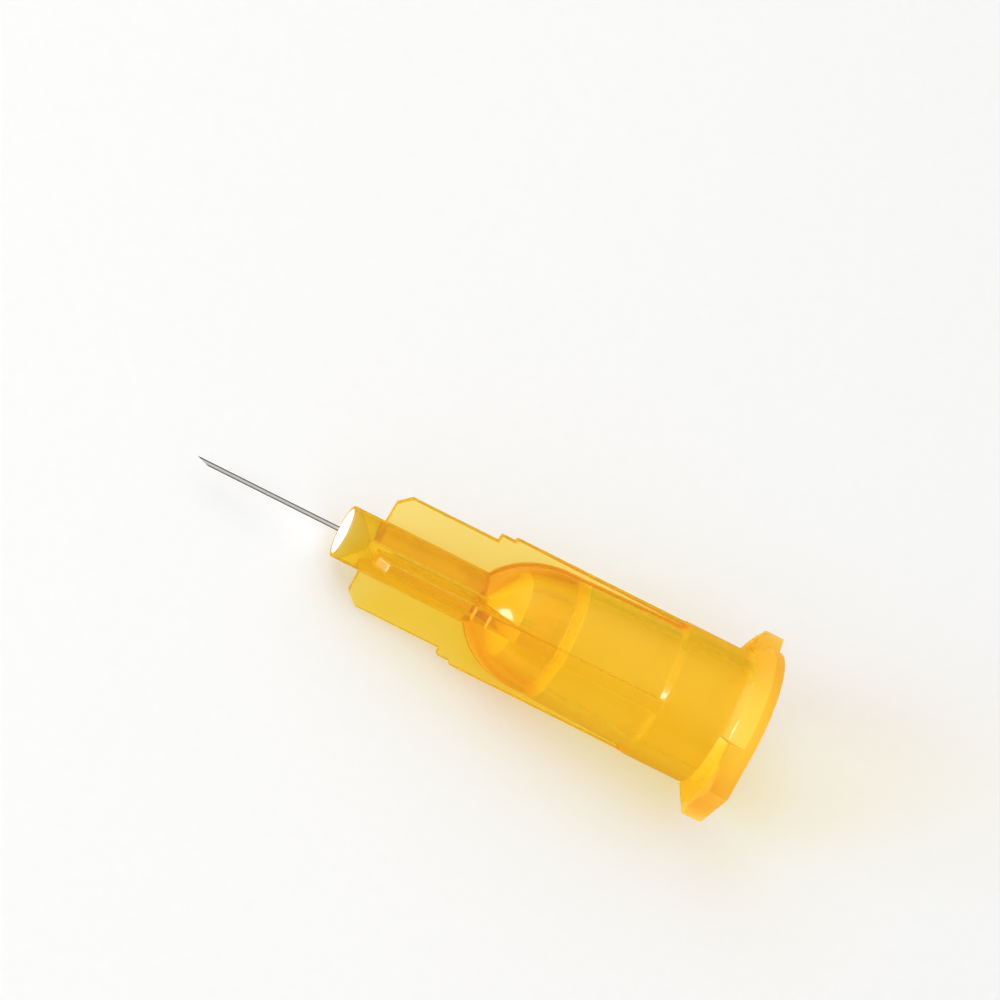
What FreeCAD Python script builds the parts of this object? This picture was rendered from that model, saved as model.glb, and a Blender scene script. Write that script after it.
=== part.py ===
import FreeCAD, Part
import math
import os

# A mesotherapy needle: a fine steel tube glued into a clear plastic hub with a tapered socket for a syringe.
# Lengths are in millimetres. The needle lies on its side at rest, its point toward -X and its flange toward +X.
# Stations along the hub are measured from its nose face toward the flange.

# tube
tube_radius = 0.09
tube_bore_radius = 0.045
tube_exposed_length = 6.3
tube_rear_station = 8.3
bevel_length = 0.54
side_grind_length = 0.30
side_grind_turn_deg = 38.0
bevel_facing_deg = 122.5

# glue
glue_pocket_mouth_radius = 0.93
glue_pocket_depth = 1.05
glue_tail_length = 1.0
glue_creep_length = 0.20
glue_creep_radius = 0.28
tube_clearance = 0.05

# stem, dome and barrel
stem_radius = 1.07
dome_centre_station = 8.6
dome_length = 3.10
barrel_front_radius = 2.49
barrel_rear_radius = 2.62
collar_station = 13.34
collar_ramp_length = 0.22
collar_radius = 2.81

# fins
fin_count = 4
first_fin_deg = 45.0
fin_front_station = 1.27
fin_chamfer_station = 1.78
fin_chamfer_radius = 1.96
fin_low_radius = 2.38
fin_middle_station = 5.46
fin_middle_radius = 2.66
fin_high_station = 6.06
fin_high_radius = 2.79
fin_front_width = 0.46
fin_rear_width = 0.60

# flange and lock lugs
hub_length = 17.45
flange_root_station = 16.30
flange_rim_length = 0.40
flange_radius = 3.35
lug_corner_radius = 3.915
lug_half_angle_deg = 20.0
lug_facing_deg = 94.0
lug_land_length = 0.76
lug_root_station = 16.08

# socket and chamber
socket_mouth_radius = 2.145
socket_taper_per_mm = 0.03
socket_floor_station = 9.5
socket_floor_slope_length = 0.35
chamber_rear_radius = 1.45
chamber_front_radius = 1.20
chamber_front_station = 7.55
chamber_cone_length = 1.0

part_folder = "parts"
os.makedirs(part_folder, exist_ok=True)

x_axis = FreeCAD.Vector(1, 0, 0)
y_axis = FreeCAD.Vector(0, 1, 0)
origin = FreeCAD.Vector(0, 0, 0)


def on_section(station, radius, angle_deg):
    # a point of the hub's cross-section; the angle runs from straight up toward -Y
    angle = math.radians(angle_deg)
    return FreeCAD.Vector(station, -radius * math.sin(angle), radius * math.cos(angle))


def half_outline(points):
    # a closed face in the XZ half plane from station and radius pairs
    corners = [FreeCAD.Vector(station, 0, radius) for station, radius in points]
    corners.append(corners[0])
    return Part.Face(Part.makePolygon(corners))


def turned(points):
    # a solid of revolution about the hub's axis
    return half_outline(points).revolve(origin, x_axis, 360)


def prism_along_axis(points, start, length):
    # a solid with the given section outline, carried along the hub's axis
    corners = [on_section(start, radius, angle) for radius, angle in points]
    corners.append(corners[0])
    return Part.Face(Part.makePolygon(corners)).extrude(x_axis * length)


# placement at rest: the rim of the flange and the two lower fins' corners touch the floor
flange_rim_station = hub_length - flange_rim_length
fin_end_station = collar_station + collar_ramp_length
fin_widening = (fin_rear_width - fin_front_width) / (fin_end_station - fin_front_station)
fin_corner_width = fin_front_width + fin_widening * (fin_chamfer_station - fin_front_station)
fin_corner_depth = (fin_low_radius + fin_corner_width / 2) * math.cos(math.radians(first_fin_deg))
rest_run = flange_rim_station - fin_chamfer_station
rest_pitch = math.atan((flange_radius - fin_corner_depth) / rest_run)


def at_rest(shape):
    # tips the needle nose down about the front of the flange's rim, and centres it over the floor's origin
    tip_x = -tube_exposed_length * math.cos(rest_pitch)
    tail_x = hub_length * math.cos(rest_pitch) + flange_radius * math.sin(rest_pitch)
    pivot_drop = flange_radius * math.cos(rest_pitch) - flange_rim_station * math.sin(rest_pitch)
    placed = shape.copy()
    placed.rotate(origin, y_axis, -math.degrees(rest_pitch))
    placed.translate(FreeCAD.Vector(-(tip_x + tail_x) / 2, 0, pivot_drop))
    return placed


# hub: stem and dome
dome_blend_angle = math.asin(stem_radius / barrel_front_radius)
dome_steps = 24
dome_points = []
for step in range(dome_steps + 1):
    angle = dome_blend_angle + (math.pi / 2 - dome_blend_angle) * step / dome_steps
    station = dome_centre_station - dome_length * math.cos(angle)
    dome_points.append(FreeCAD.Vector(station, 0, barrel_front_radius * math.sin(angle)))
dome_curve = Part.BSplineCurve()
dome_curve.interpolate(dome_points)
dome_start = dome_points[0]
dome_end = dome_points[-1]
stem_edge_start = FreeCAD.Vector(0, 0, stem_radius)
barrel_end = FreeCAD.Vector(collar_station, 0, barrel_rear_radius)
collar_start = FreeCAD.Vector(fin_end_station, 0, collar_radius)
rim_front = FreeCAD.Vector(flange_rim_station, 0, flange_radius)
rim_rear = FreeCAD.Vector(hub_length, 0, flange_radius)
axis_rear = FreeCAD.Vector(hub_length, 0, 0)

# hub: the hollow blend at the root of the flange starts where the lock lugs start
flange_slope = math.atan((flange_radius - collar_radius) / (flange_rim_station - flange_root_station))
root_blend_radius = (flange_root_station - lug_root_station) / math.tan(flange_slope / 2)
root_blend_points = []
for turn in (0.0, flange_slope / 2, flange_slope):
    station = lug_root_station + root_blend_radius * math.sin(turn)
    radius = collar_radius + root_blend_radius * (1 - math.cos(turn))
    root_blend_points.append(FreeCAD.Vector(station, 0, radius))
collar_end = root_blend_points[0]
flange_start = root_blend_points[-1]
body_edges = [
    Part.makeLine(origin, stem_edge_start),
    Part.makeLine(stem_edge_start, dome_start),
    dome_curve.toShape(),
    Part.makeLine(dome_end, barrel_end),
    Part.makeLine(barrel_end, collar_start),
    Part.makeLine(collar_start, collar_end),
    Part.Arc(*root_blend_points).toShape(),
    Part.makeLine(flange_start, rim_front),
    Part.makeLine(rim_front, rim_rear),
    Part.makeLine(rim_rear, axis_rear),
    Part.makeLine(axis_rear, origin),
]
hub = Part.Face(Part.Wire(body_edges)).revolve(origin, x_axis, 360)

# hub: fins, each a tapered plate that starts on the stem and runs into the collar
fin_profile = [
    (fin_front_station, 0.0),
    (fin_front_station, fin_chamfer_radius),
    (fin_chamfer_station, fin_low_radius),
    (fin_middle_station, fin_low_radius),
    (fin_middle_station, fin_middle_radius),
    (fin_high_station, fin_middle_radius),
    (fin_high_station, fin_high_radius),
    (fin_end_station, fin_high_radius),
    (fin_end_station, 0.0),
]
fin_plate = half_outline(fin_profile).extrude(y_axis * (2 * fin_rear_width))
fin_plate.translate(y_axis * -fin_rear_width)
fin_side_corners = [
    FreeCAD.Vector(fin_front_station, -fin_front_width / 2, 0),
    FreeCAD.Vector(fin_end_station, -fin_rear_width / 2, 0),
    FreeCAD.Vector(fin_end_station, fin_rear_width / 2, 0),
    FreeCAD.Vector(fin_front_station, fin_front_width / 2, 0),
]
fin_taper = Part.Face(Part.makePolygon(fin_side_corners + [fin_side_corners[0]]))
fin = fin_plate.common(fin_taper.extrude(FreeCAD.Vector(0, 0, 2 * fin_high_radius)))
for index in range(fin_count):
    placed_fin = fin.copy()
    placed_fin.rotate(origin, x_axis, first_fin_deg + index * 360 / fin_count)
    hub = hub.fuse(placed_fin)

# hub: two lock lugs, steep on one side and running out in a tangent to the rim on the other
lug_tangent_deg = math.degrees(math.acos(flange_radius / lug_corner_radius))
lug_corner_offset = lug_corner_radius * math.sin(math.radians(lug_half_angle_deg))
lug_steep_deg = math.degrees(math.asin(lug_corner_offset / flange_radius))
lug_outline = [
    (lug_corner_radius, -lug_half_angle_deg),
    (flange_radius, -lug_half_angle_deg - lug_tangent_deg),
    (socket_mouth_radius, -lug_half_angle_deg - lug_tangent_deg),
    (socket_mouth_radius, lug_steep_deg),
    (flange_radius, lug_steep_deg),
    (lug_corner_radius, lug_half_angle_deg),
]
lug_land_station = hub_length - lug_land_length
lug_slope = (lug_land_station - lug_root_station) / (lug_corner_radius - collar_radius)
lug_envelope = turned([
    (hub_length, 0.0),
    (hub_length, lug_corner_radius),
    (lug_land_station, lug_corner_radius),
    (lug_root_station, collar_radius),
    (lug_root_station - lug_slope * collar_radius, 0.0),
])
for facing in (lug_facing_deg, lug_facing_deg + 180):
    outline = [(radius, angle + facing) for radius, angle in lug_outline]
    lug_block = prism_along_axis(outline, lug_root_station, hub_length - lug_root_station)
    hub = hub.fuse(lug_block.common(lug_envelope))

# hub: socket, chamber, narrow hole for the tube and pocket for the glue
socket_depth = hub_length - socket_floor_station
socket_floor_radius = socket_mouth_radius - socket_taper_per_mm * socket_depth
tube_hole_radius = tube_radius + tube_clearance
hub_hollow = turned([
    (0.0, 0.0),
    (0.0, glue_pocket_mouth_radius),
    (glue_pocket_depth, tube_hole_radius),
    (chamber_front_station - chamber_cone_length, tube_hole_radius),
    (chamber_front_station, chamber_front_radius),
    (socket_floor_station - socket_floor_slope_length, chamber_rear_radius),
    (socket_floor_station, socket_floor_radius),
    (hub_length, socket_mouth_radius),
    (hub_length, 0.0),
])
hub = hub.cut(hub_hollow).removeSplitter()

# adhesive: a cone in the pocket that has crept along the tube, a little outward and as a thin sleeve inward
adhesive = turned([
    (-glue_creep_length, tube_radius),
    (0.0, glue_creep_radius),
    (0.0, glue_pocket_mouth_radius),
    (glue_pocket_depth, tube_hole_radius),
    (glue_pocket_depth + glue_tail_length, tube_hole_radius),
    (glue_pocket_depth + glue_tail_length, tube_radius),
])

# cannula: a hollow tube, ground to a point by one long bevel and two side grinds
tube_length = tube_exposed_length + tube_rear_station
tube_start = FreeCAD.Vector(-tube_exposed_length, 0, 0)
cannula = Part.makeCylinder(tube_radius, tube_length, tube_start, x_axis)
cannula = cannula.cut(Part.makeCylinder(tube_bore_radius, tube_length, tube_start, x_axis))


def grind(length, turn_deg):
    # the wedge that a flat grind takes off: it starts at the point and ends after the given length
    facing = bevel_facing_deg + turn_deg
    tube_diameter = 2 * tube_radius
    point = on_section(-tube_exposed_length, -tube_radius, bevel_facing_deg)
    along = FreeCAD.Vector(length, 0, 0) + on_section(0, tube_diameter, facing)
    outward = on_section(0, 2 * tube_diameter, facing)
    sideways = on_section(0, 2 * tube_diameter, facing + 90)
    before = point - along
    after = point + along * 2
    corners = [before, after, after + outward, before - x_axis * length + outward]
    wedge = Part.Face(Part.makePolygon(corners + [corners[0]]))
    wedge.translate(sideways * -1)
    return wedge.extrude(sideways * 2)


cannula = cannula.cut(grind(bevel_length, 0.0))
cannula = cannula.cut(grind(side_grind_length, side_grind_turn_deg))
cannula = cannula.cut(grind(side_grind_length, -side_grind_turn_deg))

pieces = {"hub": hub, "adhesive": adhesive, "cannula": cannula}
for name, shape in pieces.items():
    at_rest(shape).exportStep(os.path.join(part_folder, name + ".step"))
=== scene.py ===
"""Mesotherapy needle: rounded, glossy pieces, clear amber plastic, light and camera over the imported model.

The three CAD pieces are rebuilt as closed surfaces with the same sizes and softened edges, and each
replaces its node. Sizes in the classes are millimetres, measured along the hub from its nose face
toward the flange.
"""

import logging
import math
from dataclasses import dataclass
from enum import Enum

import bpy
import numpy as np
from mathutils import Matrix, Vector


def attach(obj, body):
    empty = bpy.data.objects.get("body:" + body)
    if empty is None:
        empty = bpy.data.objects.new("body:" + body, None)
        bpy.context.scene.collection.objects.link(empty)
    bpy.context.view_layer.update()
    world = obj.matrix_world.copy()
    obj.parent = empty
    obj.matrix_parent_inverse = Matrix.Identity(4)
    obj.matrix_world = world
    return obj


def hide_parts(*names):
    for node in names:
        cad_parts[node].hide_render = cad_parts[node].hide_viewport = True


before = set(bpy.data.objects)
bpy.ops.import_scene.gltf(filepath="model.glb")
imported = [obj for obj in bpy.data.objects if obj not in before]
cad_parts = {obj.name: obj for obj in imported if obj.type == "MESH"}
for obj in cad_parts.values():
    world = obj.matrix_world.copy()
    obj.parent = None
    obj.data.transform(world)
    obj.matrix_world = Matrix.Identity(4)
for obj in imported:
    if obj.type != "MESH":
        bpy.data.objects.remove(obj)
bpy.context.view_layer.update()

logging.basicConfig(level=logging.INFO, format="%(message)s")
log = logging.getLogger("needle")

MM = 0.001
NOISE_MIDDLE = (0.3, 0.7)

Tree = bpy.types.NodeTree
Socket = bpy.types.NodeSocket
Colour = tuple[float, float, float]


class Slot(Enum):
    """Material slots of the record."""

    HUB = "hub"
    ADHESIVE = "adhesive"
    CANNULA = "cannula"


@dataclass(frozen=True)
class Rest:
    """Where the needle lies: nose down by a small pitch, its box centred over the origin."""

    tube_tip: float = -6.3
    hub_length: float = 17.45
    flange_rim: float = 17.05
    flange_radius: float = 3.35
    corner_station: float = 1.78
    corner_radius: float = 2.38
    corner_width: float = 0.4658096
    fin_turn: float = 45.0

    @property
    def corner_depth(self) -> float:
        """Depth of a lower fin's corner under the axis.

        Returns:
            The depth in millimetres.
        """
        return (self.corner_radius + self.corner_width / 2) * math.cos(math.radians(self.fin_turn))

    @property
    def pitch(self) -> float:
        """Angle in radians by which the nose dips.

        Returns:
            The angle of the line under the flange's rim and the two lower fins' corners.
        """
        run = self.flange_rim - self.corner_station
        return math.atan((self.flange_radius - self.corner_depth) / run)

    def to_frame(self, station: np.ndarray, y: np.ndarray, z: np.ndarray) -> np.ndarray:
        """Places hub points in the shared frame.

        Args:
            station: distance along the axis from the nose face, in millimetres.
            y: sideways offset from the axis, in millimetres.
            z: upward offset from the axis before the pitch, in millimetres.

        Returns:
            An array with a last dimension of 3, in metres.
        """
        cos, sin = math.cos(self.pitch), math.sin(self.pitch)
        tail = self.hub_length * cos + self.flange_radius * sin
        centre = (self.tube_tip * cos + tail) / 2
        lift = self.flange_radius * cos - self.flange_rim * sin
        x_out = station * cos - z * sin - centre
        z_out = station * sin + z * cos + lift
        return np.stack(np.broadcast_arrays(x_out, y, z_out), axis=-1) * MM


REST = Rest()


def ring_surface(
    name: str, station: np.ndarray, angle: np.ndarray, radius: np.ndarray, sharp_deg: float
) -> bpy.types.Object:
    """Makes a closed surface from rings round the hub's axis; the last ring joins the first.

    A point at a station, an angle and a radius lies at y = -radius * sin(angle) and z = radius * cos(angle).

    Args:
        name: the object's name.
        station: ring by column array of stations, in millimetres.
        angle: ring by column array of section angles in degrees, from straight up toward -Y.
        radius: ring by column array of distances from the axis, in millimetres.
        sharp_deg: edges that bend more than this stay sharp.

    Returns:
        The new object, linked to the scene, at the origin.
    """
    turn = np.radians(angle)
    points = REST.to_frame(station, -radius * np.sin(turn), radius * np.cos(turn))
    rings, columns = points.shape[:2]
    index = np.arange(rings * columns).reshape(rings, columns)
    ahead = np.roll(index, -1, axis=0)
    corners = [index, ahead, np.roll(ahead, -1, axis=1), np.roll(index, -1, axis=1)]
    quads = np.stack(corners, axis=-1).reshape(-1, 4)
    flat = points.reshape(-1, 3)
    centred = flat - flat.mean(axis=0)
    first, second, third, fourth = (centred[quads[:, k]] for k in range(4))
    volume = np.einsum("ij,ij->", first, np.cross(second, third))
    volume += np.einsum("ij,ij->", first, np.cross(third, fourth))
    if volume < 0:
        quads = quads[:, ::-1]
    mesh = bpy.data.meshes.new(name)
    mesh.vertices.add(len(flat))
    mesh.vertices.foreach_set("co", flat.ravel())
    mesh.loops.add(quads.size)
    mesh.loops.foreach_set("vertex_index", quads.ravel().astype(np.int32))
    mesh.polygons.add(len(quads))
    mesh.polygons.foreach_set("loop_start", np.arange(0, quads.size, 4, dtype=np.int32))
    mesh.polygons.foreach_set("use_smooth", np.ones(len(quads), dtype=bool))
    mesh.update(calc_edges=True)
    mesh.validate()
    mesh.set_sharp_from_angle(angle=math.radians(sharp_deg))
    piece = bpy.data.objects.new(name, mesh)
    bpy.context.scene.collection.objects.link(piece)
    log.info("%s: %d rings, %d faces, %.4f cubic mm", name, rings, len(quads), abs(volume) / 6 / MM**3)
    return piece


def softened(corners: list[tuple[float, float]], reach: float | list[float], steps: int = 4) -> np.ndarray:
    """Rounds the corners of a station and radius line.

    Each inner corner becomes a short quadratic curve, whose ends lie at most reach from the corner.

    Args:
        corners: the line's corners.
        reach: how far each rounding runs along its two sides, in millimetres, one for all or one per
            inner corner.
        steps: segments in each rounding.

    Returns:
        The rounded line as an array of station and radius pairs.
    """
    line = np.array(corners, dtype=float)
    before, corner, after = line[:-2], line[1:-1], line[2:]
    to_before, to_after = before - corner, after - corner
    length_before = np.linalg.norm(to_before, axis=1, keepdims=True)
    length_after = np.linalg.norm(to_after, axis=1, keepdims=True)
    wanted = np.broadcast_to(np.asarray(reach, dtype=float), len(corner))[:, None]
    cut = np.minimum(wanted, 0.45 * np.minimum(length_before, length_after))
    start = corner + to_before / length_before * cut
    end = corner + to_after / length_after * cut
    t = np.linspace(0.0, 1.0, steps + 1)[None, :, None]
    curve = (1 - t) ** 2 * start[:, None] + 2 * t * (1 - t) * corner[:, None] + t**2 * end[:, None]
    return np.concatenate([line[:1], curve.reshape(-1, 2), line[-1:]])


@dataclass
class Hub:
    """The amber moulding.

    It has a stem, four fins, a dome, a barrel, a collar, a flange with two lock lugs, and a hollow inside.
    """

    length: float = 17.45
    stem_radius: float = 1.07
    dome_centre: float = 8.6
    dome_length: float = 3.10
    barrel_front: float = 2.49
    barrel_rear: float = 2.62
    collar: float = 13.34
    collar_ramp: float = 0.22
    collar_radius: float = 2.81
    flange_root: float = 16.30
    flange_rim: float = 17.05
    flange_radius: float = 3.35
    fin_first: float = 45.0
    fin_front_width: float = 0.46
    fin_rear_width: float = 0.60
    fin_front: float = 1.27
    fin_heel: float = 1.10
    fin_shoulder: float = 1.96
    fin_corner: float = 1.78
    fin_low: float = 2.38
    fin_middle_start: float = 5.46
    fin_middle: float = 2.66
    fin_high_start: float = 6.06
    fin_high: float = 2.79
    fin_edge: float = 0.05
    root_turn: float = 13.5
    lug_corner: float = 3.915
    lug_half: float = 20.0
    lug_facing: float = 94.0
    lug_root: float = 16.08
    lug_land: float = 16.69
    socket_mouth: float = 2.145
    mouth_flare: float = 0.06
    socket_floor: float = 9.5
    socket_end: float = 1.9095
    chamber_rear: float = 9.15
    chamber_wide: float = 1.45
    chamber_front: float = 7.55
    chamber_narrow: float = 1.20
    chamber_tip: float = 6.55
    hole_radius: float = 0.14
    pocket_depth: float = 1.05
    pocket_radius: float = 0.93
    nose_inner: float = 0.98
    draft: float = 0.02
    edge: float = 0.04
    bevel: float = 0.012

    def body_line(self) -> np.ndarray:
        """Outline of the round body.

        The dome is a quarter ellipse from the stem to the barrel.

        Returns:
            Station and radius pairs from the nose to the rear face.
        """
        start = math.asin(self.stem_radius / self.barrel_front)
        turn = np.linspace(start, math.pi / 2, 28)
        along = self.dome_centre - self.dome_length * np.cos(turn)
        dome = np.stack([along, self.barrel_front * np.sin(turn)], axis=1)
        front = softened([(self.edge, self.stem_radius), tuple(dome[0]), tuple(dome[1])], 0.10)
        rear = softened(
            [
                tuple(dome[-1]),
                (self.collar, self.barrel_rear),
                (self.collar + self.collar_ramp, self.collar_radius),
                (self.flange_root, self.collar_radius),
                (self.flange_rim, self.flange_radius),
                (self.length - self.edge, self.flange_radius),
            ],
            [0.06, 0.05, self.flange_root - self.lug_root, 0.05],
            6,
        )
        return np.concatenate([front[:-1], dome[1:-1], rear])

    def fin_line(self) -> np.ndarray:
        """Outer edge of a fin.

        Returns:
            Station and radius pairs from the fin's front to the collar.
        """
        return softened(
            [
                (self.fin_front + self.draft, self.fin_heel),
                (self.fin_front + 2 * self.draft, self.fin_shoulder),
                (self.fin_corner, self.fin_low),
                (self.fin_middle_start, self.fin_low),
                (self.fin_middle_start + self.draft, self.fin_middle),
                (self.fin_high_start, self.fin_middle),
                (self.fin_high_start + self.draft, self.fin_high),
                (self.collar + self.collar_ramp, self.fin_high),
            ],
            self.edge,
        )

    def quarter(self) -> tuple[np.ndarray, np.ndarray]:
        """Columns of a quarter turn on a plain round ring.

        The columns crowd where a fin's edges and the lugs' corners are.

        Returns:
            Angles of half a fin's columns in degrees, and shares from 0 to 1 of the arc to the next fin.
        """
        near = [0.0, 0.9, 1.95, 2.35, 3.2, 4.2, 5.2, 6.2, 7.2, 8.3, 9.4, 10.5, 11.5, 12.5]
        half_fin = np.array([*near, self.root_turn])
        arc = 90.0 - 2 * self.root_turn
        wide = [20.0, 25.0, 28.0, 29.0, 30.0, 33.0, 37.0, 41.0, 45.0, 49.0, 53.0, 57.0, 61.0, 65.0, 68.0]
        close = [69.0, 70.0, 71.0, 72.0, 72.7, 73.2]
        return half_fin, (np.array(wide + close) - self.root_turn) / arc

    def lug_radius(self, angle: np.ndarray) -> np.ndarray:
        """Section outline of the two lugs, as the smooth minimum of three straight sides.

        Args:
            angle: section angles in degrees.

        Returns:
            The lugs' outer radius at each angle, or 0 between the lugs.
        """
        half = math.radians(self.lug_half)
        tangent = math.acos(self.flange_radius / self.lug_corner)
        steep = math.asin(self.lug_corner * math.sin(half) / self.flange_radius)
        turn = np.radians((angle - self.lug_facing + 90.0) % 180.0 - 90.0)
        runs_out = self.flange_radius / np.cos(np.clip(turn + half + tangent, -1.4, 1.4))
        chord = self.lug_corner * math.cos(half) / np.cos(np.clip(turn, -1.4, 1.4))
        side = self.lug_corner * math.sin(half) / np.sin(np.clip(turn, 0.05, 1.5))
        sharpness = 40.0
        sides = np.stack([runs_out, chord, side])
        least = sides.min(axis=0)
        smooth = least - np.log(np.exp(-sharpness * (sides - least)).sum(axis=0)) / sharpness
        inside = (turn > -half - tangent) & (turn < steep + 0.004)
        return np.where(inside, smooth, 0.0)

    def fin_section(
        self, half_width: np.ndarray, round_radius: np.ndarray, fin_radius: np.ndarray
    ) -> tuple[np.ndarray, np.ndarray]:
        """Half of a fin's section, with a rounded top edge and a foot that settles on the body.

        Args:
            half_width: half the fin's width at each ring.
            round_radius: the body's radius at each ring.
            fin_radius: the fin's outer radius at each ring.

        Returns:
            Angles in degrees from the fin's middle and distances from the axis, ring by column.
        """
        root_height = np.sqrt(round_radius**2 - half_width**2)
        top = np.maximum(fin_radius, root_height + 0.012)
        edge = np.minimum(self.fin_edge, 0.45 * (top - root_height))
        flat = np.array([0.0, 0.35, 0.7])[None, :]
        bend = np.radians(np.array([0.0, 30.0, 60.0, 90.0]))[None, :]
        down = np.array([0.25, 0.5, 0.75])[None, :]
        root = np.minimum(0.06, 0.35 * (top - root_height))
        settle = np.array([0.0, 0.3, 0.6, 0.85, 1.0])[None, :]
        side_top, side_foot = top - edge, root_height + root
        foot_angle = np.arcsin(np.clip((half_width + root) / round_radius, -1, 1))
        across = np.concatenate(
            [
                flat * (half_width - edge),
                half_width - edge + edge * np.sin(bend),
                np.broadcast_to(half_width, side_top.shape) * np.ones_like(down),
                half_width * (1 - settle**2) + round_radius * np.sin(foot_angle) * settle**2,
            ],
            axis=1,
        )
        above = np.concatenate(
            [
                np.broadcast_to(top, top.shape) * np.ones_like(flat),
                top - edge + edge * np.cos(bend),
                side_top + (side_foot - side_top) * down,
                side_foot * (1 - settle) ** 2 + round_radius * np.cos(foot_angle) * (1 - (1 - settle) ** 2),
            ],
            axis=1,
        )
        return np.degrees(np.arctan2(across, above)), np.hypot(across, above)

    def outside(self) -> tuple[np.ndarray, np.ndarray, np.ndarray]:
        """Rings of the outer surface.

        Returns:
            Station, angle and radius arrays, ring by column.
        """
        body, fin = self.body_line(), self.fin_line()
        beyond, rear = self.lug_corner + 0.1, self.length - self.edge
        lug = softened([(self.lug_root, self.collar_radius), (self.lug_land, beyond), (rear, beyond)], 0.05)
        even = np.arange(0.3, self.length - 0.3, 0.35)
        ramp = np.linspace(self.lug_root, self.lug_land, 9)
        known = [body[:, 0], fin[:, 0], lug[:, 0], even, ramp, [self.fin_front]]
        stations = np.unique(np.round(np.concatenate(known), 4))
        stations = stations[np.concatenate([[True], np.diff(stations) > 0.003])]
        round_radius = np.interp(stations, body[:, 0], body[:, 1])[:, None]
        fin_radius = np.interp(stations, fin[:, 0], fin[:, 1], left=0.0, right=0.0)[:, None]
        has_fin = fin_radius > round_radius + 0.01
        fin_end = self.collar + self.collar_ramp
        share = np.clip((stations - self.fin_front) / (fin_end - self.fin_front), 0.0, 1.0)[:, None]
        half_width = (self.fin_front_width + (self.fin_rear_width - self.fin_front_width) * share) / 2

        half_fin, shares = self.quarter()
        fin_angle, fin_distance = self.fin_section(half_width, round_radius, fin_radius)
        side_angle = np.where(has_fin, fin_angle, half_fin[None, :])
        side_distance = np.where(has_fin, np.maximum(fin_distance, round_radius), round_radius)
        foot = side_angle[:, -1:]
        arc_angle = foot + (90.0 - 2 * foot) * shares[None, :]
        arc_distance = np.broadcast_to(round_radius, arc_angle.shape)

        quarter_angle = np.concatenate([side_angle, arc_angle, 90.0 - side_angle[:, :0:-1]], axis=1)
        quarter_distance = np.concatenate([side_distance, arc_distance, side_distance[:, :0:-1]], axis=1)
        starts = self.fin_first + 90.0 * np.arange(4)
        angle = np.concatenate([quarter_angle + start for start in starts], axis=1)
        distance = np.tile(quarter_distance, (1, 4))
        lug_limit = np.interp(stations, lug[:, 0], lug[:, 1], left=0.0)[:, None]
        distance = np.maximum(distance, np.minimum(self.lug_radius(angle), lug_limit))
        return np.broadcast_to(stations[:, None], angle.shape), angle, distance

    def hollow_line(self) -> np.ndarray:
        """Outline of the hollow, from the mouth of the socket forward to the pocket in the nose.

        Returns:
            Station and radius pairs.
        """
        return softened(
            [
                (self.length, self.socket_mouth + self.mouth_flare),
                (self.length - self.mouth_flare, self.socket_mouth),
                (self.socket_floor, self.socket_end),
                (self.chamber_rear, self.chamber_wide),
                (self.chamber_front, self.chamber_narrow),
                (self.chamber_tip, self.hole_radius),
                (self.pocket_depth, self.hole_radius),
                (0.0, self.pocket_radius),
            ],
            0.06,
        )

    def build(self) -> bpy.types.Object:
        """Makes the hub as one closed surface.

        Returns:
            The hub's object.
        """
        station, angle, distance = self.outside()
        plain = angle[-1]
        rear_outer = distance[-1]
        mouth = self.socket_mouth + self.mouth_flare
        rear_station = self.length + np.array([-self.bevel, 0.0, 0.0, 0.0])
        rear_radius = np.stack(
            [
                rear_outer - self.bevel,
                rear_outer - self.edge,
                rear_outer * 0.65 + mouth * 0.35,
                rear_outer * 0.15 + mouth * 0.85,
            ]
        )
        inner = self.hollow_line()
        nose_station = np.array([0.0, 0.0, self.bevel])
        nose_radius = np.array([self.nose_inner, self.stem_radius - self.edge, self.stem_radius - self.bevel])
        stations = np.concatenate([station[:, 0], rear_station, inner[:, 0], nose_station])
        tail_radius = np.concatenate([inner[:, 1], nose_radius])[:, None] * np.ones_like(plain)[None, :]
        radius = np.concatenate([distance, rear_radius, tail_radius])
        later = len(stations) - len(angle)
        angles = np.concatenate([angle, np.broadcast_to(plain, (later, plain.size))])
        return ring_surface("hub_moulding", stations[:, None] * np.ones_like(angles), angles, radius, 40.0)


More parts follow.
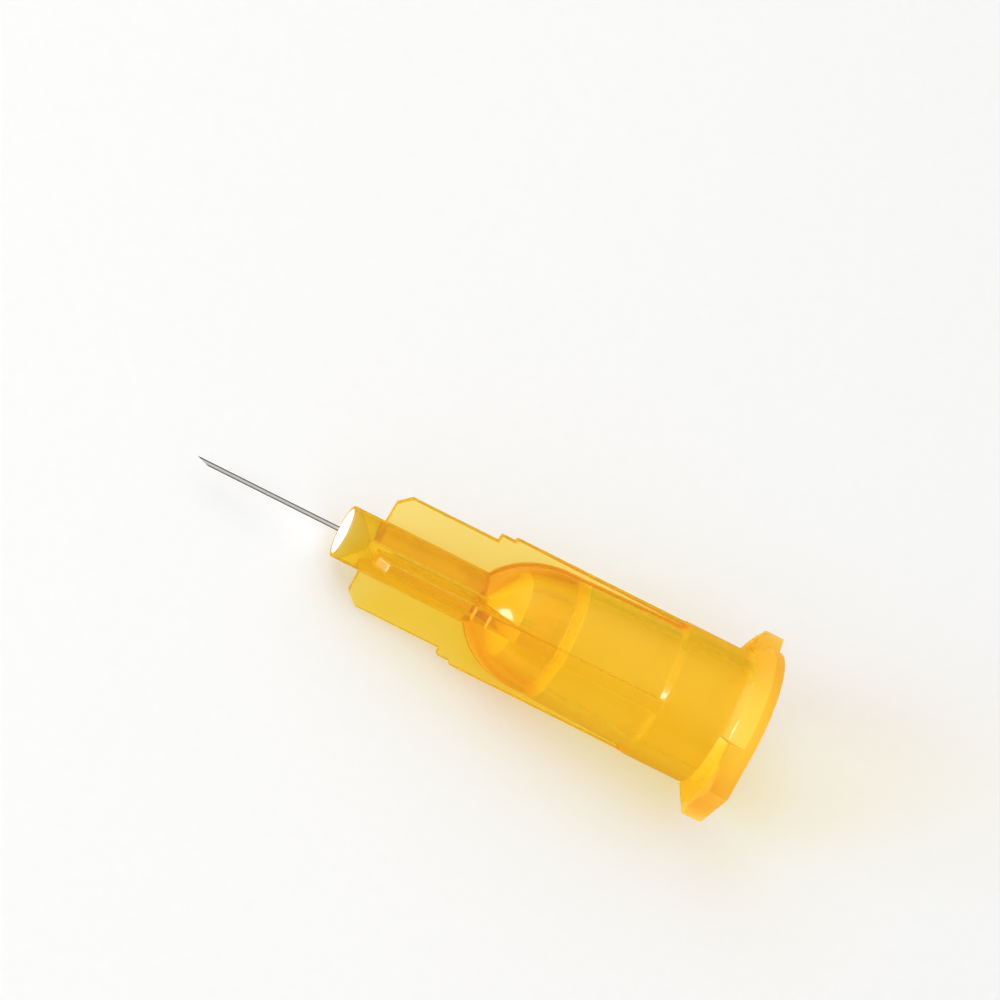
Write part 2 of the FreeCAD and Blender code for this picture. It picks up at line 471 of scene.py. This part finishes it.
@dataclass
class Cannula:
    """The steel tube: hollow, with one long bevel and two side grinds at its point."""

    radius: float = 0.09
    bore: float = 0.045
    tip: float = -6.3
    rear: float = 8.3
    bevel: float = 0.54
    side_grind: float = 0.30
    side_turn: float = 38.0
    facing: float = 122.5
    rear_bevel: float = 0.006
    columns: int = 64

    def front(self, angle: np.ndarray, radius: float) -> np.ndarray:
        """Where the ground faces cut a wall line of the tube.

        A grind with length g and turn t cuts at tip + g * (share + cos t) / 2, with share the wall point's
        offset toward the side that the grind faces, as a part of the tube's radius. The furthest of the
        three cuts counts.

        Args:
            angle: section angles in degrees.
            radius: distance of the wall line from the axis.

        Returns:
            The station of the tube's front edge at each angle.
        """
        def cut(length: float, turn: float) -> np.ndarray:
            share = radius / self.radius * np.cos(np.radians(angle - self.facing - turn))
            start = -math.cos(math.radians(turn))
            return self.tip + length * (share - start) / 2

        side = np.maximum(cut(self.side_grind, self.side_turn), cut(self.side_grind, -self.side_turn))
        return np.maximum(np.maximum(cut(self.bevel, 0.0), side), self.tip)

    def build(self) -> bpy.types.Object:
        """Makes the tube as one closed surface.

        Returns:
            The tube's object.
        """
        angle = self.facing + np.arange(self.columns) * 360.0 / self.columns
        outer_front, inner_front = self.front(angle, self.radius), self.front(angle, self.bore)
        share = np.concatenate([np.linspace(0.0, 0.06, 4), np.linspace(0.1, 1.0, 16)])[:, None]
        outer = outer_front + (self.rear - self.rear_bevel - outer_front) * share
        inner = inner_front + (self.rear - inner_front) * share[::-1]
        station = np.concatenate([outer, np.full((1, self.columns), self.rear), inner])
        radius = np.concatenate(
            [
                np.full(outer.shape, self.radius),
                np.full((1, self.columns), self.radius - self.rear_bevel),
                np.full(inner.shape, self.bore),
            ]
        )
        return ring_surface("cannula_tube", station, np.broadcast_to(angle, station.shape), radius, 30.0)


@dataclass
class Adhesive:
    """The white glue: a cone that fills the nose pocket, with a slightly hollow face and a thin sleeve."""

    mouth: float = 0.93
    depth: float = 1.05
    hole: float = 0.14
    tube: float = 0.09
    tail: float = 1.0
    creep: float = 0.19
    creep_radius: float = 0.27
    sunk: float = 0.010
    hollow: float = 0.020
    gap: float = 0.01
    rim_start: float = 0.006
    columns: int = 96

    def build(self) -> bpy.types.Object:
        """Makes the glue as one closed surface.

        The face sinks a little inside the rim, and a hollow cone of glue runs a short way up the tube.

        Returns:
            The glue's object.
        """
        reach = np.linspace(0.0, 1.0, 14)
        creep_radius = self.tube + (self.creep_radius - self.tube) * reach
        creep_station = self.sunk - self.creep * (1.0 - reach) ** 2
        flat_radius = self.creep_radius + (self.mouth - self.gap - self.creep_radius) * reach[1:]
        flat_station = self.sunk + self.hollow * np.sin(np.pi * reach[1:]) ** 2
        face_radius = np.concatenate([creep_radius, flat_radius])
        face_station = np.concatenate([creep_station, flat_station])
        line = np.concatenate(
            [
                np.stack([face_station, face_radius], axis=1),
                softened(
                    [
                        (self.rim_start, self.mouth),
                        (self.depth, self.hole),
                        (self.depth + self.tail, self.hole),
                        (self.depth + self.tail, self.tube),
                    ],
                    0.03,
                ),
            ]
        )
        angle = np.arange(self.columns) * 360.0 / self.columns
        station = line[:, :1] * np.ones_like(angle)[None, :]
        radius = line[:, 1:] * np.ones_like(angle)[None, :]
        return ring_surface("adhesive_plug", station, np.broadcast_to(angle, station.shape), radius, 50.0)


def new_group(name: str, inputs: dict[str, float], outputs: dict[str, str]) -> Tree:
    """Starts a shader node group.

    Args:
        name: the group's name.
        inputs: names and default values of its number inputs.
        outputs: names and socket types of its outputs.

    Returns:
        The group, with its input and output nodes placed.
    """
    group = bpy.data.node_groups.new(name, "ShaderNodeTree")
    for label, value in inputs.items():
        socket = group.interface.new_socket(name=label, in_out="INPUT", socket_type="NodeSocketFloat")
        socket.default_value = value
    for label, kind in outputs.items():
        group.interface.new_socket(name=label, in_out="OUTPUT", socket_type=kind)
    group.nodes.new("NodeGroupInput")
    group.nodes.new("NodeGroupOutput")
    return group


def marks_group() -> Tree:
    """Builds the surface marks that all finishes share.

    The coordinates are turned into the needle's own, in millimetres: station, sideways and upward. Along
    and Across are noise scales per millimetre, so a low Along and a high Across give lines that run along
    the needle. A fleck lies where the distance to the nearest cell's point is less than Fleck Size.

    Returns:
        The group, with the outputs Own, Radius, Height and Fleck.
    """
    group = new_group(
        "needle_marks",
        {"Along": 1.0, "Across": 8.0, "Detail": 3.0, "Fleck Scale": 2.0, "Fleck Size": 0.08},
        {
            "Own": "NodeSocketVector",
            "Radius": "NodeSocketFloat",
            "Height": "NodeSocketFloat",
            "Fleck": "NodeSocketFloat",
        },
    )
    nodes, links = group.nodes, group.links
    given, out = nodes["Group Input"], nodes["Group Output"]
    place = nodes.new("ShaderNodeTexCoord")
    own = nodes.new("ShaderNodeMapping")
    own.vector_type = "TEXTURE"
    own.inputs["Location"].default_value = REST.to_frame(np.zeros(1), np.zeros(1), np.zeros(1))[0]
    own.inputs["Rotation"].default_value = (0.0, -REST.pitch, 0.0)
    own.inputs["Scale"].default_value = (MM, MM, MM)
    links.new(place.outputs["Object"], own.inputs["Vector"])
    split = nodes.new("ShaderNodeSeparateXYZ")
    links.new(own.outputs[0], split.inputs[0])
    across = nodes.new("ShaderNodeCombineXYZ")
    links.new(split.outputs["Y"], across.inputs["Y"])
    links.new(split.outputs["Z"], across.inputs["Z"])
    radius = nodes.new("ShaderNodeVectorMath")
    radius.operation = "LENGTH"
    links.new(across.outputs[0], radius.inputs[0])
    stretch = nodes.new("ShaderNodeCombineXYZ")
    links.new(given.outputs["Along"], stretch.inputs["X"])
    links.new(given.outputs["Across"], stretch.inputs["Y"])
    links.new(given.outputs["Across"], stretch.inputs["Z"])
    scaled = nodes.new("ShaderNodeVectorMath")
    scaled.operation = "MULTIPLY"
    links.new(own.outputs[0], scaled.inputs[0])
    links.new(stretch.outputs[0], scaled.inputs[1])
    grain = nodes.new("ShaderNodeTexNoise")
    grain.inputs["Scale"].default_value = 1.0
    links.new(scaled.outputs[0], grain.inputs["Vector"])
    links.new(given.outputs["Detail"], grain.inputs["Detail"])
    cells = nodes.new("ShaderNodeTexVoronoi")
    links.new(own.outputs[0], cells.inputs["Vector"])
    links.new(given.outputs["Fleck Scale"], cells.inputs["Scale"])
    fleck = nodes.new("ShaderNodeMath")
    fleck.operation = "LESS_THAN"
    links.new(cells.outputs["Distance"], fleck.inputs[0])
    links.new(given.outputs["Fleck Size"], fleck.inputs[1])
    links.new(own.outputs[0], out.inputs["Own"])
    links.new(radius.outputs["Value"], out.inputs["Radius"])
    links.new(grain.outputs["Fac"], out.inputs["Height"])
    links.new(fleck.outputs[0], out.inputs["Fleck"])
    return group


@dataclass(frozen=True)
class Marks:
    """One finish's values for the shared surface marks."""

    along: float
    across: float
    detail: float = 3.0
    fleck_scale: float = 2.0
    fleck_size: float = 0.08
    bump_mm: float = 0.002
    bump_strength: float = 0.3

    def place(self, tree: Tree, group: Tree) -> bpy.types.Node:
        """Adds the group to a material and lets its height bend the surface.

        Args:
            tree: the material's node tree, with its Principled shader.
            group: the shared marks.

        Returns:
            The group's node.
        """
        marks = tree.nodes.new("ShaderNodeGroup")
        marks.node_tree = group
        marks.inputs["Along"].default_value = self.along
        marks.inputs["Across"].default_value = self.across
        marks.inputs["Detail"].default_value = self.detail
        marks.inputs["Fleck Scale"].default_value = self.fleck_scale
        marks.inputs["Fleck Size"].default_value = self.fleck_size
        bump = tree.nodes.new("ShaderNodeBump")
        bump.inputs["Strength"].default_value = self.bump_strength
        bump.inputs["Distance"].default_value = self.bump_mm * MM
        tree.links.new(marks.outputs["Height"], bump.inputs["Height"])
        tree.links.new(bump.outputs[0], tree.nodes["Principled BSDF"].inputs["Normal"])
        return marks


def ranged(tree: Tree, source: Socket, given: tuple[float, float], wanted: tuple[float, float]) -> Socket:
    """Maps a value from one range to another, held at both ends.

    Args:
        tree: the node tree.
        source: the value's socket.
        given: the range that it comes in.
        wanted: the range that goes out.

    Returns:
        The mapped value's socket.
    """
    node = tree.nodes.new("ShaderNodeMapRange")
    node.inputs["From Min"].default_value, node.inputs["From Max"].default_value = given
    node.inputs["To Min"].default_value, node.inputs["To Max"].default_value = wanted
    tree.links.new(source, node.inputs["Value"])
    return node.outputs[0]


def combined(tree: Tree, operation: str, first: Socket, second: Socket) -> Socket:
    """Joins two values by a plain operation.

    Args:
        tree: the node tree.
        operation: the operation's name, such as MULTIPLY.
        first: the first value's socket.
        second: the second value's socket.

    Returns:
        The result's socket.
    """
    node = tree.nodes.new("ShaderNodeMath")
    node.operation = operation
    tree.links.new(first, node.inputs[0])
    tree.links.new(second, node.inputs[1])
    return node.outputs[0]


def between(tree: Tree, source: Socket, start: float, end: float) -> Socket:
    """Tells where a value lies between two bounds.

    Args:
        tree: the node tree.
        source: the value's socket.
        start: the lower bound.
        end: the upper bound.

    Returns:
        A socket that is 1 between the bounds and 0 outside them.
    """
    edge = 0.01
    above = ranged(tree, source, (start - edge, start), (0.0, 1.0))
    below = ranged(tree, source, (end, end + edge), (1.0, 0.0))
    return combined(tree, "MULTIPLY", above, below)


def blended(tree: Tree, share: Socket, first: Colour, second: Colour) -> Socket:
    """Mixes two colours.

    Args:
        tree: the node tree.
        share: socket of the second colour's share.
        first: the first colour.
        second: the second colour.

    Returns:
        The mixed colour's socket.
    """
    node = tree.nodes.new("ShaderNodeMix")
    node.data_type = "RGBA"
    tree.links.new(share, node.inputs[0])
    node.inputs[6].default_value = (*first, 1.0)
    node.inputs[7].default_value = (*second, 1.0)
    return node.outputs[2]


def mirror_rays(tree: Tree) -> Socket:
    """Tells rays that a surface has mirrored from those that a clear piece has let through.

    Args:
        tree: the node tree of a material or the world.

    Returns:
        A socket that is 1 for glossy rays that no clear piece has bent, and 0 for all others.
    """
    path = tree.nodes.new("ShaderNodeLightPath")
    only = tree.nodes.new("ShaderNodeMath")
    only.operation = "SUBTRACT"
    only.use_clamp = True
    tree.links.new(path.outputs["Is Glossy Ray"], only.inputs[0])
    tree.links.new(path.outputs["Is Transmission Ray"], only.inputs[1])
    return only.outputs[0]


@dataclass(frozen=True)
class AmberPlastic:
    """Clear amber plastic: gloss, refraction, a colour that deepens with thickness, and a matt haze."""

    base: Colour = (1.0, 1.0, 0.95)
    base_fleck: Colour = (1.0, 0.95, 0.75)
    depth_colour: Colour = (0.996, 0.885, 0.0)
    density: float = 1900.0
    roughness: tuple[float, float] = (0.14, 0.20)
    coat: float = 0.7
    satin_coat: float = 0.04
    satin_roughness: float = 0.70
    satin_start: float = 16.42
    coat_roughness: float = 0.06
    socket_roughness: tuple[float, float] = (0.34, 0.42)
    socket_start: float = 9.12
    socket_radius: float = 2.25
    chamber_radius: float = 1.6
    haze: float = 0.22
    haze_colour: Colour = (1.0, 0.69, 0.03)
    frost: float = 0.42
    frost_colour: Colour = (1.0, 0.86, 0.16)
    frost_stations: tuple[tuple[float, float], ...] = ((6.60, 7.57), (9.14, 9.53))
    hole_radius: float = 0.20
    fade: float = 0.01
    ior: float = 1.49
    shadow_colour: Colour = (0.94, 0.95, 0.98)
    marks: Marks = Marks(along=1.5, across=4.0, fleck_scale=9.0, fleck_size=0.10, bump_mm=0.004)

    def zones(self, tree: Tree, marks: bpy.types.Node) -> tuple[Socket, Socket, Socket]:
        """Finds the hub's zones by station and radius.

        Args:
            tree: the material's node tree.
            marks: the node of the shared marks.

        Returns:
            Sockets that are 1 in the etched socket and hole, on the satin flange, and on the frosted cones.
        """
        split = tree.nodes.new("ShaderNodeSeparateXYZ")
        tree.links.new(marks.outputs["Own"], split.inputs[0])
        station, radius = split.outputs["X"], marks.outputs["Radius"]
        start, fade = self.socket_start, self.fade
        radii = (self.chamber_radius, self.socket_radius)
        widest = ranged(tree, station, (start - fade, start + fade), radii)
        inside = combined(tree, "LESS_THAN", radius, widest)
        past = ranged(tree, station, (start - 2 * fade, start), (0.0, 1.0))
        socket = combined(tree, "MULTIPLY", inside, past)
        hole = ranged(tree, radius, (self.hole_radius, self.hole_radius + 2 * fade), (1.0, 0.0))
        satin = ranged(tree, station, (self.satin_start, self.satin_start + 6 * fade), (0.0, 1.0))
        front, floor = (between(tree, station, *ends) for ends in self.frost_stations)
        frosted = combined(tree, "MULTIPLY", inside, combined(tree, "MAXIMUM", front, floor))
        return combined(tree, "MAXIMUM", socket, hole), satin, frosted

    def gloss(self, tree: Tree, height: Socket, etched: Socket, satin: Socket) -> None:
        """Sets how rough each zone is and how much clear gloss lies on it.

        Args:
            tree: the material's node tree.
            height: the marks' height.
            etched: 1 in the socket and the hole.
            satin: 1 on the flange.
        """
        shader = tree.nodes["Principled BSDF"]
        rough = tree.nodes.new("ShaderNodeMix")
        tree.links.new(etched, rough.inputs[0])
        tree.links.new(ranged(tree, height, NOISE_MIDDLE, self.roughness), rough.inputs[2])
        tree.links.new(ranged(tree, height, NOISE_MIDDLE, self.socket_roughness), rough.inputs[3])
        dull = ranged(tree, satin, (0.0, 1.0), (0.0, self.satin_roughness))
        tree.links.new(combined(tree, "MAXIMUM", rough.outputs[0], dull), shader.inputs["Roughness"])
        coat = ranged(tree, satin, (0.0, 1.0), (self.coat, self.satin_coat))
        tree.links.new(coat, shader.inputs["Coat Weight"])
        shader.inputs["Coat Roughness"].default_value = self.coat_roughness
        shader.inputs["Coat IOR"].default_value = self.ior

    def hazed(self, tree: Tree, frosted: Socket) -> Socket:
        """Mixes the matt haze into the clear surface, and more of it on the frosted cones.

        Args:
            tree: the material's node tree.
            frosted: 1 on the frosted cones.

        Returns:
            The mixed surface's socket.
        """
        haze = tree.nodes.new("ShaderNodeBsdfDiffuse")
        tree.links.new(blended(tree, frosted, self.haze_colour, self.frost_colour), haze.inputs["Color"])
        surface = tree.nodes.new("ShaderNodeMixShader")
        tree.links.new(ranged(tree, frosted, (0.0, 1.0), (self.haze, self.frost)), surface.inputs[0])
        tree.links.new(tree.nodes["Principled BSDF"].outputs[0], surface.inputs[1])
        tree.links.new(haze.outputs[0], surface.inputs[2])
        return surface.outputs[0]

    def let_through(self, tree: Tree, surface: Socket) -> Socket:
        """Lets shadow rays and rays of soft light pass straight through the surface.

        Args:
            tree: the material's node tree.
            surface: the surface's socket.

        Returns:
            The finished surface's socket.
        """
        path = tree.nodes.new("ShaderNodeLightPath")
        passing = combined(tree, "MAXIMUM", path.outputs["Is Shadow Ray"], path.outputs["Is Diffuse Ray"])
        clear = tree.nodes.new("ShaderNodeBsdfTransparent")
        clear.inputs["Color"].default_value = (*self.shadow_colour, 1.0)
        mix = tree.nodes.new("ShaderNodeMixShader")
        tree.links.new(passing, mix.inputs[0])
        tree.links.new(surface, mix.inputs[1])
        tree.links.new(clear.outputs[0], mix.inputs[2])
        return mix.outputs[0]

    def material(self, group: Tree) -> bpy.types.Material:
        """Builds the material.

        The socket and the tube's hole are rougher than the outside, the flange is satin, and two cones
        inside the hub are frosted: the chamber's front and the socket's floor.

        Args:
            group: the shared marks.

        Returns:
            The plastic's material.
        """
        made = bpy.data.materials.new("amber_plastic")
        made.use_nodes = True
        tree = made.node_tree
        shader, out = tree.nodes["Principled BSDF"], tree.nodes["Material Output"]
        marks = self.marks.place(tree, group)
        colour = blended(tree, marks.outputs["Fleck"], self.base, self.base_fleck)
        tree.links.new(colour, shader.inputs["Base Color"])
        shader.inputs["IOR"].default_value = self.ior
        shader.inputs["Transmission Weight"].default_value = 1.0
        etched, satin, frosted = self.zones(tree, marks)
        self.gloss(tree, marks.outputs["Height"], etched, satin)
        tree.links.new(self.let_through(tree, self.hazed(tree, frosted)), out.inputs["Surface"])
        absorb = tree.nodes.new("ShaderNodeVolumeAbsorption")
        absorb.inputs["Color"].default_value = (*self.depth_colour, 1.0)
        absorb.inputs["Density"].default_value = self.density
        tree.links.new(absorb.outputs[0], out.inputs["Volume"])
        return made


@dataclass(frozen=True)
class GroundSteel:
    """Bright drawn steel with fine lines along the tube; toward its rims the base colour is painted dark and
    bluish by view angle, a painted dark reflection.
    """

    metallic: float = 0.6
    centre: Colour = (0.96, 0.965, 0.97)
    # painted dark reflection: the base colour at the rims, where the view grazes the tube
    rim: Colour = (0.03, 0.035, 0.07)
    painted_rim_facing: tuple[float, float] = (0.09, 0.28)
    roughness: tuple[float, float] = (0.10, 0.22)
    marks: Marks = Marks(
        along=1.0, across=60.0, detail=2.0, fleck_scale=6.0, fleck_size=0.0, bump_mm=0.0006
    )

    def material(self, group: Tree) -> bpy.types.Material:
        """Builds the material.

        Args:
            group: the shared marks.

        Returns:
            The steel's material.
        """
        made = bpy.data.materials.new("ground_steel")
        made.use_nodes = True
        tree = made.node_tree
        shader = tree.nodes["Principled BSDF"]
        shader.inputs["Metallic"].default_value = self.metallic
        marks = self.marks.place(tree, group)
        rough = ranged(tree, marks.outputs["Height"], NOISE_MIDDLE, self.roughness)
        tree.links.new(rough, shader.inputs["Roughness"])
        # Painted dark reflection: the base colour turns from the centre colour to the dark rim colour as the
        # view grazes the surface.
        facing = tree.nodes.new("ShaderNodeLayerWeight")
        rim = ranged(tree, facing.outputs["Facing"], self.painted_rim_facing, (0.0, 1.0))
        tree.links.new(blended(tree, rim, self.centre, self.rim), shader.inputs["Base Color"])
        return made


@dataclass(frozen=True)
class Matt:
    """A pale finish whose tone and roughness vary a little."""

    name: str
    colour: Colour
    low_colour: Colour
    roughness: tuple[float, float]
    marks: Marks
    # painted amber light on the part behind the nose face, where the glue lies inside the hub
    painted_amber_light: Colour | None = None
    deep_start: float = 0.06
    deep_fade: float = 0.04

    def paint_amber_light(self, tree: Tree, marks: bpy.types.Node, colour: Socket) -> Socket:
        """Paints the part behind the nose face in a warm amber, painted light that stands in for the light
        reaching the glue through the plastic.

        Args:
            tree: the material's node tree.
            marks: the node of the shared marks.
            colour: the face's colour.

        Returns:
            The colour's socket.
        """
        split = tree.nodes.new("ShaderNodeSeparateXYZ")
        tree.links.new(marks.outputs["Own"], split.inputs[0])
        ends = (self.deep_start, self.deep_start + self.deep_fade)
        tint = tree.nodes.new("ShaderNodeMix")
        tint.data_type = "RGBA"
        tree.links.new(ranged(tree, split.outputs["X"], ends, (0.0, 1.0)), tint.inputs[0])
        tree.links.new(colour, tint.inputs[6])
        tint.inputs[7].default_value = (*self.painted_amber_light, 1.0)
        return tint.outputs[2]

    def material(self, group: Tree) -> bpy.types.Material:
        """Builds the material.

        Args:
            group: the shared marks.

        Returns:
            The finish's material.
        """
        made = bpy.data.materials.new(self.name)
        made.use_nodes = True
        tree = made.node_tree
        shader = tree.nodes["Principled BSDF"]
        marks = self.marks.place(tree, group)
        height = marks.outputs["Height"]
        tone = ranged(tree, height, (0.35, 0.65), (1.0, 0.0))
        colour = blended(tree, tone, self.colour, self.low_colour)
        if self.painted_amber_light is not None:
            colour = self.paint_amber_light(tree, marks, colour)
        tree.links.new(colour, shader.inputs["Base Color"])
        tree.links.new(ranged(tree, height, NOISE_MIDDLE, self.roughness), shader.inputs["Roughness"])
        return made


WHITE_GLUE = Matt(
    name="white_glue",
    colour=(0.96, 0.96, 0.95),
    low_colour=(0.92, 0.92, 0.90),
    roughness=(0.30, 0.45),
    marks=Marks(along=4.0, across=4.0, fleck_scale=5.0, fleck_size=0.0, bump_mm=0.010),
    # Painted amber light: the glue inside the hub is tinted warm as if lit through the plastic.
    painted_amber_light=(1.0, 0.80, 0.42),
)
STUDIO_PAPER = Matt(
    name="studio_paper",
    colour=(0.955, 0.955, 0.95),
    low_colour=(0.945, 0.945, 0.94),
    roughness=(0.85, 0.95),
    marks=Marks(
        along=2.2, across=2.2, detail=4.0, fleck_scale=1.0, fleck_size=0.0, bump_mm=0.010, bump_strength=0.5
    ),
)


@dataclass(frozen=True)
class Lamp:
    """A soft oblong lamp that faces the object; place and size in metres, power in watts."""

    name: str
    at: tuple[float, float, float]
    size: tuple[float, float]
    power: float
    in_gloss: bool = True

    def build(self) -> None:
        """Adds the lamp to the scene."""
        light = bpy.data.lights.new(self.name, "AREA")
        light.shape = "RECTANGLE"
        light.size, light.size_y = self.size
        light.energy = self.power
        holder = bpy.data.objects.new(self.name, light)
        bpy.context.scene.collection.objects.link(holder)
        holder.location = self.at
        holder.rotation_mode = "QUATERNION"
        holder.rotation_quaternion = Vector(self.at).to_track_quat("Z", "Y")
        holder.visible_glossy = self.in_gloss


@dataclass(frozen=True)
class Studio:
    """Pale floor, soft light and the photo's viewing angle.

    The room's strength falls from the window's side to the other. Mirrored rays see a dim room, which
    gets brighter toward the top, and a floor painted dim orange, a painted reflection; to all other rays the
    floor stays white.
    """

    floor_half: float = 0.6
    # painted reflection: the floor's colour as mirrored surfaces see it
    painted_floor_reflection: Colour = (0.75, 0.42, 0.08)
    lamps: tuple[Lamp, ...] = (
        Lamp("window_lamp", (-0.4345, -0.2026, 0.142), (0.18, 0.31), 1.7),
        Lamp("sky_lamp", (-0.295, 0.17, 0.366), (0.40, 0.28), 0.5, in_gloss=False),
    )
    room: tuple[float, float] = (1.02, 0.40)
    room_mirrored: tuple[float, float] = (0.06, 0.30)
    mirrored_rise: tuple[float, float] = (0.40, 0.85)
    camera_at: tuple[float, float, float] = (-0.0859436, -0.1572156, 0.2490375)
    camera_turn: tuple[float, float, float, float] = (0.9270317, 0.2386609, -0.2032317, 0.2057913)
    lens: float = 288.0
    sensor: float = 36.0
    clip: tuple[float, float] = (0.005, 10.0)

    def floor(self, group: Tree) -> None:
        """Adds the floor under the object.

        Args:
            group: the shared marks.
        """
        half = self.floor_half
        corners = [(-half, -half, 0.0), (half, -half, 0.0), (half, half, 0.0), (-half, half, 0.0)]
        mesh = bpy.data.meshes.new("studio_floor")
        mesh.from_pydata(corners, [], [(0, 1, 2, 3)])
        ground = bpy.data.objects.new("studio_floor", mesh)
        bpy.context.scene.collection.objects.link(ground)
        paper = STUDIO_PAPER.material(group)
        tree = paper.node_tree
        # Painted reflection: surfaces that mirror the floor see it dim orange instead of white.
        warm = tree.nodes.new("ShaderNodeBsdfDiffuse")
        warm.inputs["Color"].default_value = (*self.painted_floor_reflection, 1.0)
        mix = tree.nodes.new("ShaderNodeMixShader")
        tree.links.new(mirror_rays(tree), mix.inputs[0])
        tree.links.new(tree.nodes["Principled BSDF"].outputs[0], mix.inputs[1])
        tree.links.new(warm.outputs[0], mix.inputs[2])
        tree.links.new(mix.outputs[0], tree.nodes["Material Output"].inputs["Surface"])
        ground.data.materials.append(paper)

    def world(self) -> None:
        """Adds the white room around the scene."""
        world = bpy.data.worlds.new("studio_world")
        bpy.context.scene.world = world
        world.use_nodes = True
        tree = world.node_tree
        plain = tree.nodes["Background"]
        plain.inputs["Color"].default_value = (1.0, 1.0, 1.0, 1.0)
        dim = tree.nodes.new("ShaderNodeBackground")
        spot = tree.nodes.new("ShaderNodeTexCoord")
        split = tree.nodes.new("ShaderNodeSeparateXYZ")
        tree.links.new(spot.outputs["Generated"], split.inputs[0])
        tree.links.new(ranged(tree, split.outputs["X"], (-1.0, 1.0), self.room), plain.inputs["Strength"])
        rise = ranged(tree, split.outputs["Z"], self.mirrored_rise, self.room_mirrored)
        tree.links.new(rise, dim.inputs["Strength"])
        mix = tree.nodes.new("ShaderNodeMixShader")
        tree.links.new(mirror_rays(tree), mix.inputs[0])
        tree.links.new(plain.outputs[0], mix.inputs[1])
        tree.links.new(dim.outputs[0], mix.inputs[2])
        tree.links.new(mix.outputs[0], tree.nodes["World Output"].inputs["Surface"])

    def camera(self) -> None:
        """Adds the camera at the photo's angle."""
        data = bpy.data.cameras.new("photo_camera")
        data.lens = self.lens
        data.sensor_width = self.sensor
        data.clip_start, data.clip_end = self.clip
        camera = bpy.data.objects.new("photo_camera", data)
        camera.location = self.camera_at
        camera.rotation_mode = "QUATERNION"
        camera.rotation_quaternion = self.camera_turn
        bpy.context.scene.collection.objects.link(camera)
        bpy.context.scene.camera = camera

    def build(self, group: Tree) -> None:
        """Adds floor, lamps, world and camera, and bounces enough for the hub's many walls.

        Args:
            group: the shared marks.
        """
        self.floor(group)
        for lamp in self.lamps:
            lamp.build()
        self.world()
        self.camera()
        bpy.context.scene.view_settings.view_transform = "Standard"
        bounces = bpy.context.scene.cycles
        bounces.max_bounces = 32
        bounces.glossy_bounces = 16
        bounces.transmission_bounces = 24
        bounces.transparent_max_bounces = 16
        log.info("studio: floor, %d lamps, world and camera", len(self.lamps))


def dress(piece: bpy.types.Object, node: str, finish: bpy.types.Material) -> None:
    """Gives a rebuilt piece its finish and its place in the model.

    Args:
        piece: the rebuilt piece.
        node: the CAD node that it stands for.
        finish: its material.
    """
    piece.data.materials.append(finish)
    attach(piece, "root")
    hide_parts(node)
    log.info("%s stands for %s", piece.name, node)


def main() -> None:
    """Builds the needle and its studio."""
    group = marks_group()
    dress(Hub().build(), "hub", AmberPlastic().material(group))
    dress(Cannula().build(), "cannula", GroundSteel().material(group))
    dress(Adhesive().build(), "adhesive", WHITE_GLUE.material(group))
    Studio().build(group)


if __name__ == "__main__":
    main()
